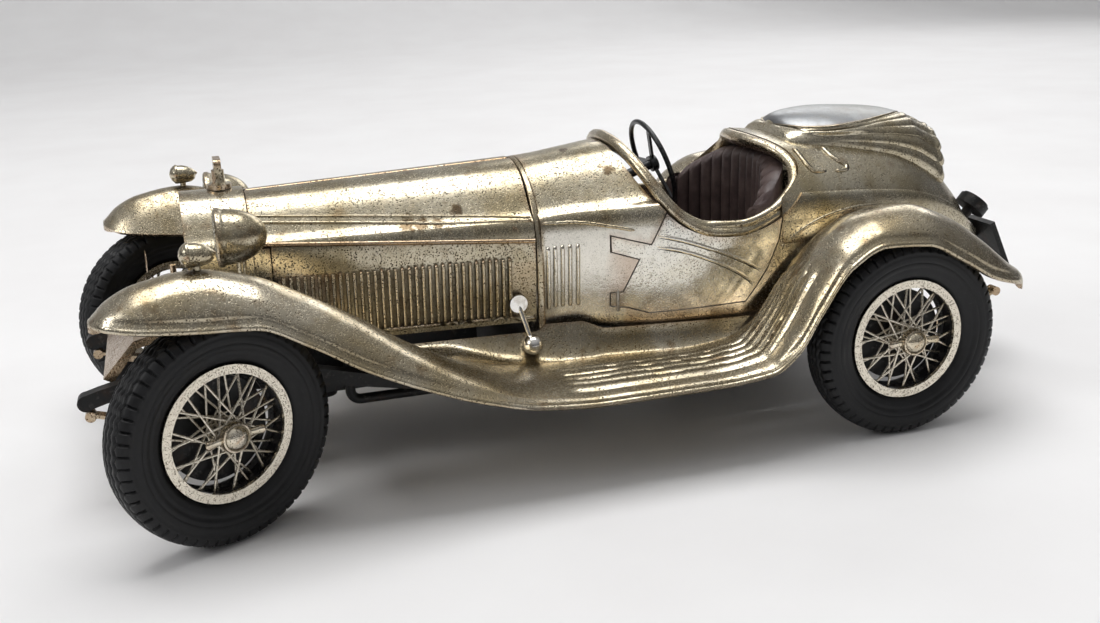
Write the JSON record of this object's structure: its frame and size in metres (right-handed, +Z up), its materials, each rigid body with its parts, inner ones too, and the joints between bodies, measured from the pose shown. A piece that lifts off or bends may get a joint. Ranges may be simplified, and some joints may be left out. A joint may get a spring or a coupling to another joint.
{
  "type": "diecast collector car",
  "caption": "Open two-seat diecast model car with swept wings, louvred folding bonnet, opening doors, steering wire wheels and a folded hood.",
  "frame": {"origin": "on the ground under the middle of the overall length and width", "axes": "+X toward the tail, -X toward the nose, +Y toward the car's right, +Z up"},
  "size_m": [0.2304, 0.1118, 0.0686],
  "materials": {
    "plated_body": "tarnished silver plate with fine pits",
    "plated_bright": "polished silver plate",
    "chrome": "bright plated",
    "black_metal": "satin black",
    "steel": "plain",
    "black_plastic": "semi-matt moulded",
    "seat_vinyl": "dark pleated",
    "tyre_rubber": "moulded rubber",
    "clear_lens": "clear"
  },
  "bodies": {
    "car": {"body_shell": "plated_body", "door_hinge_pins": "steel", "coaming": "plated_body", "bonnet_hinge": "plated_body", "radiator_shell": "plated_body", "radiator_core": "black_plastic", "radiator_cap": "plated_body", "wing_left": "plated_body", "wing_right": "plated_body", "chassis_base": "black_metal", "leaf_springs": "plated_body", "front_axle": "black_metal", "kingpins": "steel", "axle_housing": "black_metal", "headlights": "plated_body", "headlight_lenses": "clear_lens", "side_lamps": "plated_body", "horns": "plated_body", "front_apron": "plated_body", "engine": "plated_body", "exhaust": "black_metal", "dashboard": "black_plastic", "seat_cushion": "seat_vinyl", "seat_back": "seat_vinyl", "folded_hood": "plated_body", "number_plate": "black_plastic", "plate_bracket": "black_plastic", "tail_lamp": "plated_body"},
    "knuckle_left": {"knuckle_left": "black_metal"},
    "wheel_front_left": {"tyre_front_left": "tyre_rubber", "rim_front_left": "plated_body", "spokes_front_left": "chrome", "hub_front_left": "chrome"},
    "door_left": {"door_left": "plated_bright"},
    "bonnet_top_left": {"bonnet_top_left": "plated_body"},
    "bonnet_side_left": {"bonnet_side_left": "plated_body"},
    "bonnet_catch_left": {"bonnet_catch_left": "chrome"},
    "knuckle_right": {"knuckle_right": "black_metal"},
    "wheel_front_right": {"tyre_front_right": "tyre_rubber", "rim_front_right": "plated_body", "spokes_front_right": "chrome", "hub_front_right": "chrome"},
    "door_right": {"door_right": "plated_bright"},
    "bonnet_top_right": {"bonnet_top_right": "plated_body"},
    "bonnet_side_right": {"bonnet_side_right": "plated_body"},
    "bonnet_catch_right": {"bonnet_catch_right": "chrome"},
    "track_rod": {"track_rod": "black_metal"},
    "steering": {"steering_column": "black_plastic", "steering_wheel": "black_plastic"},
    "rear_wheels": {"rear_axle": "steel", "tyre_rear_left": "tyre_rubber", "rim_rear_left": "plated_body", "spokes_rear_left": "chrome", "hub_rear_left": "chrome", "tyre_rear_right": "tyre_rubber", "rim_rear_right": "plated_body", "spokes_rear_right": "chrome", "hub_rear_right": "chrome"}
  },
  "joints": [
    {"name": "steer_left", "type": "hinge", "parent": "car", "child": "knuckle_left", "pos_m": [-0.09026, -0.0347, 0.0225], "axis": [0, 0, 1], "range_deg": [-54, 2]},
    {"name": "steer_right", "type": "hinge", "parent": "car", "child": "knuckle_right", "pos_m": [-0.09026, 0.0347, 0.0225], "axis": [0, 0, 1], "range_deg": [-54, 2]},
    {"name": "track_rod_pivot", "type": "hinge", "parent": "knuckle_left", "child": "track_rod", "pos_m": [-0.08397, -0.03163, 0.0126], "axis": [0, 0, 1], "range_deg": [-2, 54]},
    {"name": "steering_turn", "type": "hinge", "parent": "car", "child": "steering", "pos_m": [0.02424, 0.01, 0.056], "axis": [0.9455, 0, 0.3256], "range_deg": [-54, 2]},
    {"name": "wheel_spin_left", "type": "hinge", "parent": "knuckle_left", "child": "wheel_front_left", "pos_m": [-0.08623, -0.04297, 0.0225], "axis": [-0.4384, 0.8988, 0], "continuous": true},
    {"name": "wheel_spin_right", "type": "hinge", "parent": "knuckle_right", "child": "wheel_front_right", "pos_m": [-0.09429, 0.04297, 0.0225], "axis": [-0.4384, 0.8988, 0], "continuous": true},
    {"name": "rear_axle_spin", "type": "hinge", "parent": "car", "child": "rear_wheels", "pos_m": [0.06174, 0, 0.0225], "axis": [0, 1, 0], "continuous": true},
    {"name": "door_left_swing", "type": "hinge", "parent": "car", "child": "door_left", "pos_m": [0.00294, -0.0205, 0.0381], "axis": [0, 0, -1], "range_deg": [0, 45]},
    {"name": "door_right_swing", "type": "hinge", "parent": "car", "child": "door_right", "pos_m": [0.00294, 0.0205, 0.0381], "axis": [0, 0, 1], "range_deg": [0, 45]},
    {"name": "bonnet_left_lift", "type": "hinge", "parent": "car", "child": "bonnet_top_left", "pos_m": [-0.04551, 0, 0.0607], "axis": [-0.9993, 0, -0.0375], "range_deg": [0, 55]},
    {"name": "bonnet_right_lift", "type": "hinge", "parent": "car", "child": "bonnet_top_right", "pos_m": [-0.04551, 0, 0.0607], "axis": [0.9993, 0, 0.0375], "range_deg": [0, 55]},
    {"name": "bonnet_side_left_swing", "type": "hinge", "parent": "bonnet_top_left", "child": "bonnet_side_left", "pos_m": [-0.04551, -0.01662, 0.0489], "axis": [-0.9937, 0.0888, 0.0685], "range_deg": [0, 35]},
    {"name": "bonnet_side_right_swing", "type": "hinge", "parent": "bonnet_top_right", "child": "bonnet_side_right", "pos_m": [-0.04551, 0.01662, 0.0489], "axis": [0.9937, 0.0888, -0.0685], "range_deg": [0, 35]},
    {"name": "bonnet_catch_left_turn", "type": "hinge", "parent": "bonnet_side_left", "child": "bonnet_catch_left", "pos_m": [-0.02026, -0.019, 0.0332], "axis": [0, 1, 0], "range_deg": [0, 80]},
    {"name": "bonnet_catch_right_turn", "type": "hinge", "parent": "bonnet_side_right", "child": "bonnet_catch_right", "pos_m": [-0.02026, 0.019, 0.0332], "axis": [0, 1, 0], "range_deg": [0, 80]}
  ],
  "couplings": [
    {"joint": "steer_right", "follows": "steer_left", "ratio": 1},
    {"joint": "track_rod_pivot", "follows": "steer_left", "ratio": -1},
    {"joint": "steering_turn", "follows": "steer_left", "ratio": 1}
  ]
}
